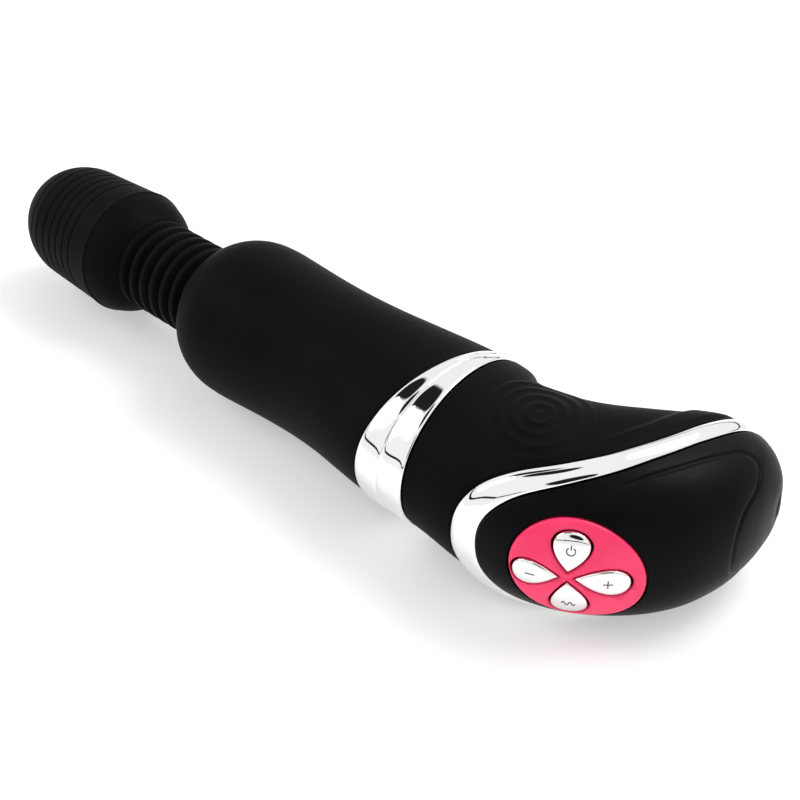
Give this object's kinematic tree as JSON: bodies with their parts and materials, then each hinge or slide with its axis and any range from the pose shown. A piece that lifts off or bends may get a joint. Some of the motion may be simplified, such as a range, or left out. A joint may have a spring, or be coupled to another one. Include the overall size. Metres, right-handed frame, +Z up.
{
  "type": "handheld wand massager",
  "caption": "Handheld wand massager with a flexible ribbed neck, round vibrating head, chrome ring, hooked handle and a thumb pad of push buttons.",
  "frame": {"origin": "middle of the outline seen from above, on the surface that the wand lies on", "axes": "+X from the head to the handle along the wand, -Y towards the button pad, +Z up from the flank it lies on"},
  "size_m": [0.2174, 0.0626, 0.0382],
  "materials": {
    "silicone": "matte soft-touch",
    "plastic": "moulded",
    "chrome": "polished",
    "gloss": "satin",
    "pink": "satin",
    "steel": "plain",
    "board": "solder mask",
    "cell": "sleeved",
    "brass": "plain",
    "wire": "insulated"
  },
  "bodies": {
    "head": {"head_skin": "silicone", "motor_cup": "plastic", "motor_cover": "plastic", "motor_can": "steel", "bellows_front": "silicone", "neck_spring_front": "steel", "motor_lead_front": "wire"},
    "rotor": {"motor_shaft": "steel", "eccentric_weight": "brass"},
    "neck_link": {"bellows_middle": "silicone", "neck_spacer": "plastic"},
    "front_body": {"front_skin": "silicone", "front_core": "plastic", "front_ring": "chrome", "neck_collar": "plastic", "bellows_rear": "silicone", "neck_spring_rear": "steel", "motor_lead_rear": "wire", "battery_carrier": "plastic", "contact_plate_front": "brass", "contact_plate_rear": "brass", "cell_1": "cell", "cell_2": "cell", "cell_3": "cell", "contact_post": "brass"},
    "handle": {"handle_skin": "silicone", "handle_core": "plastic", "rear_ring": "chrome", "trim_band": "chrome", "control_cover": "gloss", "button_pad": "pink", "circuit_board": "board", "board_screw_1": "steel", "board_screw_2": "steel", "power_switch": "plastic", "plus_switch": "plastic", "mode_switch": "plastic", "minus_switch": "plastic", "contact_disc": "board", "seam_seal": "silicone"},
    "power_button": {"power_button": "chrome"},
    "plus_button": {"plus_button": "chrome"},
    "mode_button": {"mode_button": "chrome"},
    "minus_button": {"minus_button": "chrome"}
  },
  "joints": [
    {"name": "body_twist", "type": "hinge", "parent": "handle", "child": "front_body", "pos_m": [0.0424, -0.00709, 0.0187], "axis": [1, 0, 0], "range_deg": [0, 45]},
    {"name": "neck_yaw", "type": "hinge", "parent": "front_body", "child": "neck_link", "pos_m": [-0.0436, -0.00709, 0.0187], "axis": [0, 0, 1], "range_deg": [-20, 20], "stiffness_Nm_per_rad": 2, "deforming": ["bellows_rear", "neck_spring_rear", "motor_lead_rear"]},
    {"name": "neck_pitch", "type": "hinge", "parent": "neck_link", "child": "head", "pos_m": [-0.0552, -0.00709, 0.0187], "axis": [0, 1, 0], "range_deg": [-20, 20], "stiffness_Nm_per_rad": 2, "deforming": ["bellows_front", "neck_spring_front", "motor_lead_front"]},
    {"name": "motor_spin", "type": "hinge", "parent": "head", "child": "rotor", "pos_m": [-0.0866, -0.00709, 0.0187], "axis": [1, 0, 0], "continuous": true},
    {"name": "power_press", "type": "slide", "parent": "handle", "child": "power_button", "axis": [-0.5446, 0.8387, 0], "range_m": [0, 0.0008], "stiffness_N_per_m": 400},
    {"name": "plus_press", "type": "slide", "parent": "handle", "child": "plus_button", "axis": [-0.5446, 0.8387, 0], "range_m": [0, 0.0008], "stiffness_N_per_m": 400},
    {"name": "mode_press", "type": "slide", "parent": "handle", "child": "mode_button", "axis": [-0.5446, 0.8387, 0], "range_m": [0, 0.0008], "stiffness_N_per_m": 400},
    {"name": "minus_press", "type": "slide", "parent": "handle", "child": "minus_button", "axis": [-0.5446, 0.8387, 0], "range_m": [0, 0.0008], "stiffness_N_per_m": 400}
  ]
}
